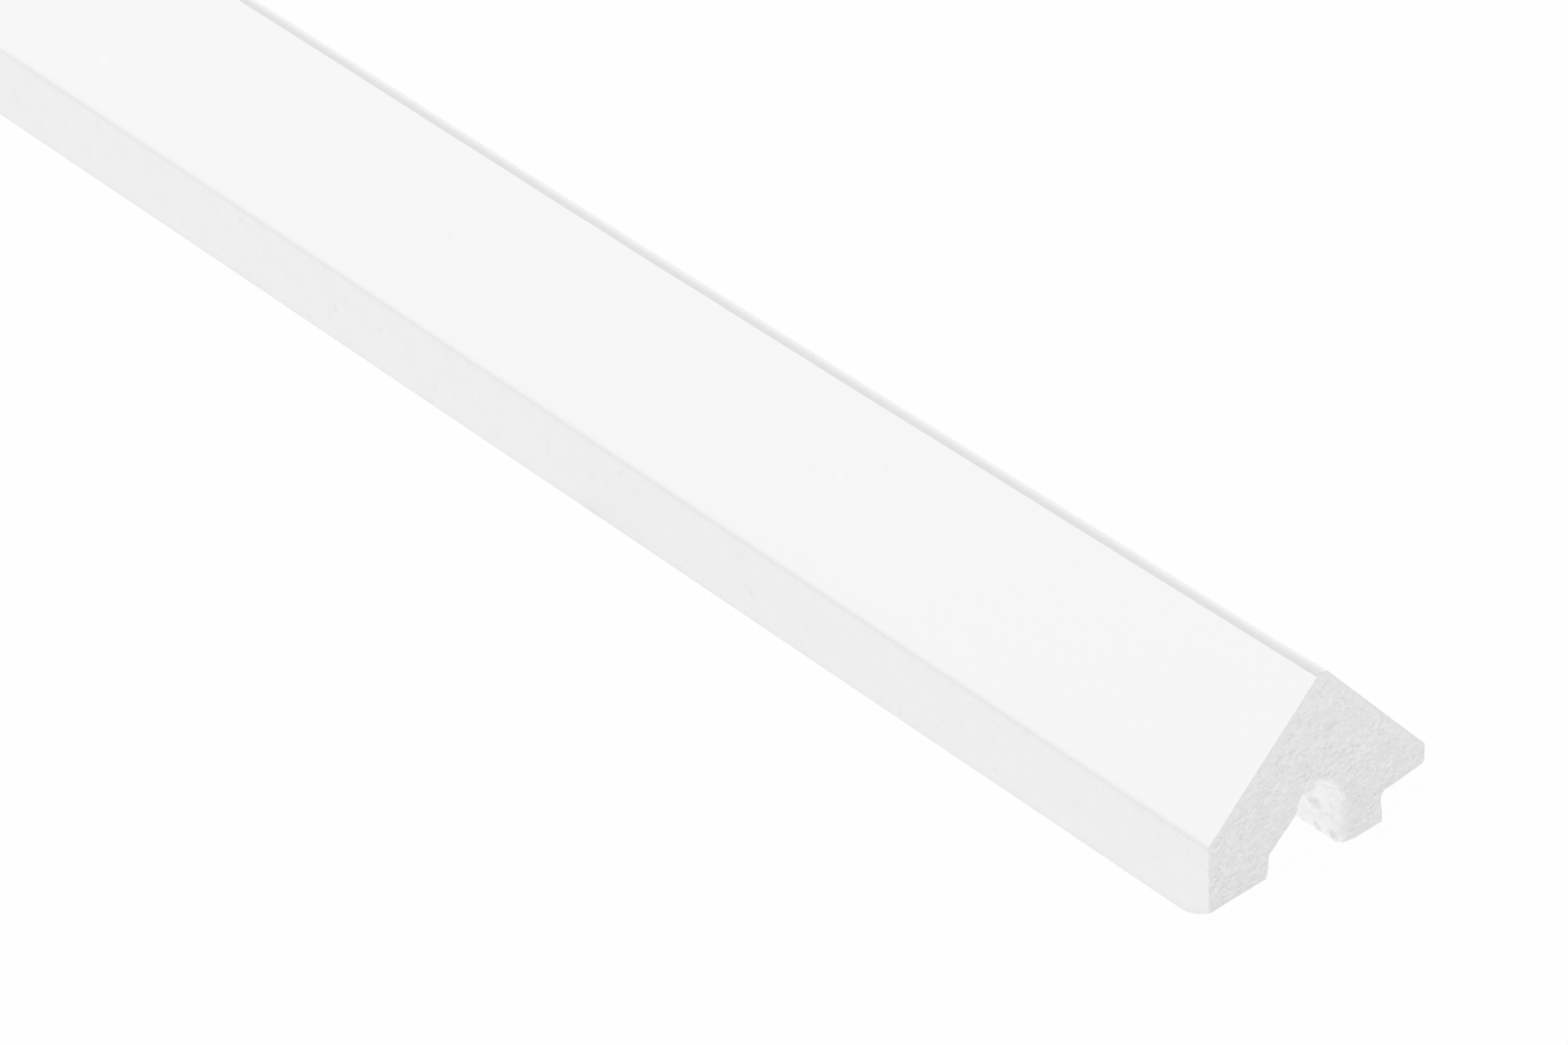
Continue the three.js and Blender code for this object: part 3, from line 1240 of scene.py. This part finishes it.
@dataclass(frozen=True)
class SawnFinish:
    """Sawn foam: cells cut open and drawn out along the saw's way, with bright flecks and dark pores. It is
    denser and smoother near the skin, lighter where the groove's edge is rubbed round, and darker towards
    the bottom by painted shade."""

    spotting: Spotting
    groove_start: float
    groove_end: float
    level: float = 0.922
    # painted shade: the sawn end is ramped darker towards the bottom over this height
    shade_rise_height: float = 20.0
    rise: float = 0.036
    rubbed_level: float = 0.985
    blotch_size: float = 1.0
    blotch: float = 0.34
    rubbed_width: float = 1.0
    ragged_size: float = 0.9
    ragged: float = 1.6
    groove_blend: float = 0.5
    groove_fade: float = 5.0
    drag: float = 0.5
    grain_size: float = 0.2
    grain_texture: tuple[float, float] = (2.0, 0.6)
    grain: float = 0.44
    stroke_size: float = 0.5
    stroke: float = 0.16
    fleck_size: float = 0.34
    fleck_span: tuple[float, float] = (0.6, 0.72)
    fleck: float = 0.4
    pore_size: float = 0.26
    pore_span: tuple[float, float] = (0.15, 0.23)
    pore: float = 0.17
    cluster_size: float = 1.9
    cluster_span: tuple[float, float] = (0.36, 0.66)
    calm: float = 0.5
    lively: float = 0.7
    tone_size: float = 1.2
    tone: float = 0.09
    dense_width: float = 1.4
    dense_share: float = 0.5
    dense_wander_size: float = 3.0
    dense_wander: float = 2.0
    gloss: Gloss = Gloss(0.9, 0.15, 0.6, 0.05)

    def material(self) -> bpy.types.Material:
        """Works out the sawn foam's level: where it is rubbed round by the groove, the rubbed level and its
        blotches, and all over, a painted shade that is darker towards the bottom and lighter towards the
        top, and the marks and the tone, which are fainter near the skin, plus the spots, one of them
        painted shade.

        Returns:
            The sawn foam as a material.
        """
        shader = Shader("sawn foam")
        places = shader.places()
        around, core = shader.attribute(AROUND), shader.attribute(CORE)
        where = shader.add(
            "ShaderNodeMapping",
            {"vector_type": "TEXTURE"},
            {"Vector": places, "Rotation": (0.0, -SAW_ANGLE, 0.0), "Scale": (1.0 / self.drag, 1.0, 1.0)},
        )
        loose = core + shader.swing(places, self.dense_wander_size, self.dense_wander)
        loose = self.dense_share + (1.0 - self.dense_share) * loose.step(0.0, self.dense_width)
        grain = shader.noise(where, self.grain_size, *self.grain_texture)
        strokes = shader.swing(where, self.stroke_size, self.stroke)
        flecks = shader.noise(where, self.fleck_size, PLAIN).step(*self.fleck_span)
        pores = shader.noise(places, self.pore_size, PLAINEST).fall(*self.pore_span)
        cluster = shader.noise(places, self.cluster_size).step(*self.cluster_span)
        tone = shader.swing(where, self.tone_size, self.tone)
        height = shader.add("ShaderNodeSeparateXYZ", {}, {0: places}, "Z")
        # painted shade: darker towards the bottom of the sawn end, lighter towards the top
        rise = (height.ramp(0.0, self.shade_rise_height * MILLIMETRE) - 0.5) * self.rise
        start, end, blend = self.groove_start, self.groove_end, self.groove_blend
        groove = around.band(start, start + blend, end - self.groove_fade, end - blend)
        ragged = core + shader.swing(places, self.ragged_size, self.ragged, *DETAILED)
        rubbed = groove * ragged.fall(0.0, self.rubbed_width)
        blotches = shader.swing(places, self.blotch_size, self.blotch, *DETAILED)
        level = self.level + rubbed * (self.rubbed_level - self.level + blotches)
        marks = ((grain - 0.5) * self.grain + strokes) * (self.calm + self.lively * cluster)
        marks = marks + flecks * cluster * self.fleck - pores * self.pore
        level = level + rise + loose * (marks + tone)
        level = level + self.spotting.level(shader, places, SAWN_SPOTS_AND_SHADE + GROOVE_SPOTS)
        return shader.foam(level, grain, self.gloss)


@dataclass(frozen=True)
class RawFinish:
    """Bare moulded foam on the hidden side: uneven, in lighter and darker patches."""

    spotting: Spotting
    level: float = 0.995
    patch_size: float = 1.0
    patch: float = 0.5
    pit_size: float = 1.5
    pit_span: tuple[float, float] = (0.28, 0.42)
    pit: float = 0.08
    grain_size: float = 0.35
    grain: float = 0.12
    gloss: Gloss = Gloss(0.8, 0.2, 0.5, 0.06)

    def material(self) -> bpy.types.Material:
        """Works out the bare foam's level: the plain level with patches, grain and pits, plus the spots.

        Returns:
            The bare foam as a material.
        """
        shader = Shader("bare moulded foam")
        where = shader.places()
        patches = shader.swing(where, self.patch_size, self.patch, *DETAILED)
        grain = shader.noise(where, self.grain_size)
        pits = shader.noise(where, self.pit_size).fall(*self.pit_span)
        level = self.level + patches + (grain - 0.5) * self.grain - pits * self.pit
        level = level + self.spotting.level(shader, where, GROOVE_SPOTS)
        return shader.foam(level, grain, self.gloss)


@dataclass(frozen=True)
class Softbox:
    """A large square soft light that faces the strip."""

    name: str
    place: tuple[float, float, float]
    side: float
    power: float

    def build(self) -> None:
        """Makes the light, turned so that its face looks at the origin."""
        light = bpy.data.lights.new(self.name, "AREA")
        light.shape = "SQUARE"
        light.size = self.side
        light.energy = self.power
        lamp = stand(self.name, light)
        lamp.location = self.place
        lamp.rotation_euler = lamp.location.to_track_quat("Z", "Y").to_euler()


@dataclass(frozen=True)
class Studio:
    """The white floor, the soft light and the camera. The floor glows like a light table, so the strip
    casts no dark shadow on it."""

    floor_side: float = 6.0
    floor_drop: float = 0.0001
    floor_glow: float = 0.962
    floor_level: float = 0.03
    sky: float = 0.64
    camera_place: tuple[float, float, float] = (-0.318284, -0.419234, 0.371722)
    heading: float = math.radians(-39.0172)
    tilt: float = math.radians(53.5846)
    roll: float = math.radians(-2.9854)
    lens: float = 148.6875
    sensor: float = 36.0
    clip: tuple[float, float] = (0.01, 20.0)
    softbox: Softbox = Softbox("overhead softbox", (-0.62, 0.4, 1.86), 1.5, 16.0)

    def camera(self) -> None:
        """Makes the camera: tilted from straight down, rolled and turned to its heading."""
        data = bpy.data.cameras.new("camera")
        data.lens = self.lens
        data.sensor_width = self.sensor
        data.sensor_fit = "HORIZONTAL"
        data.clip_start, data.clip_end = self.clip
        camera = stand("camera", data)
        turn = Matrix.Rotation(self.heading, 4, "Z") @ Matrix.Rotation(self.tilt, 4, "X")
        turn = turn @ Matrix.Rotation(self.roll, 4, "Z")
        camera.matrix_world = Matrix.Translation(self.camera_place) @ turn
        bpy.context.scene.camera = camera

    def floor(self) -> None:
        half = self.floor_side / 2
        corners = [(-half, -half), (half, -half), (half, half), (-half, half)]
        mesh = bpy.data.meshes.new("floor")
        mesh.from_pydata([(x, y, -self.floor_drop) for x, y in corners], [], [(0, 1, 2, 3)])
        glow = {"Emission Color": WHITE, "Emission Strength": self.floor_glow}
        colour = {"Base Color": (self.floor_level, self.floor_level, self.floor_level, 1.0)}
        matt = {"Roughness": 1.0, "Specular IOR Level": 0.0}
        mesh.materials.append(Shader("white floor").surface({**colour, **matt, **glow}))
        stand("floor", mesh)

    def light(self) -> None:
        """Sets an even white sky, and hangs the soft light nearly overhead."""
        world = bpy.data.worlds.new("studio")
        world.use_nodes = True
        background = world.node_tree.nodes["Background"]
        background.inputs["Color"].default_value = WHITE
        background.inputs["Strength"].default_value = self.sky
        bpy.context.scene.world = world
        self.softbox.build()


def main() -> None:
    """Builds the studio and the strip, and dresses the strip."""
    logging.basicConfig(level=logging.INFO, format="%(name)s: %(message)s")
    bpy.context.scene.view_settings.view_transform = "Standard"
    studio = Studio()
    studio.camera()
    studio.floor()
    studio.light()
    log.info("studio ready")

    low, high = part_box(STRIP_NODE)
    size = (high - low) / MILLIMETRE
    section = Section(strip_width=size.x)
    trim = TrimStrip(section, size.y, Wear(section, size.y))
    strip = trim.build()
    spotting = Spotting((-size.x / 2, -size.y / 2, 0.0))
    edges = [trim.face_start(face) for face in (Face.MAIN, Face.BEAD, Face.BACK)]
    film = FilmFinish(spotting, *edges)
    sawn = SawnFinish(spotting, trim.face_start(Face.WALL), trim.face_start(Face.SLOPE))
    for finish in (film, sawn, RawFinish(spotting)):
        strip.data.materials.append(finish.material())
    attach(strip, BODY)
    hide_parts(STRIP_NODE)
    log.info("%s: %d vertices, %d faces", strip.name, len(strip.data.vertices), len(strip.data.polygons))


if __name__ == "__main__":
    main()
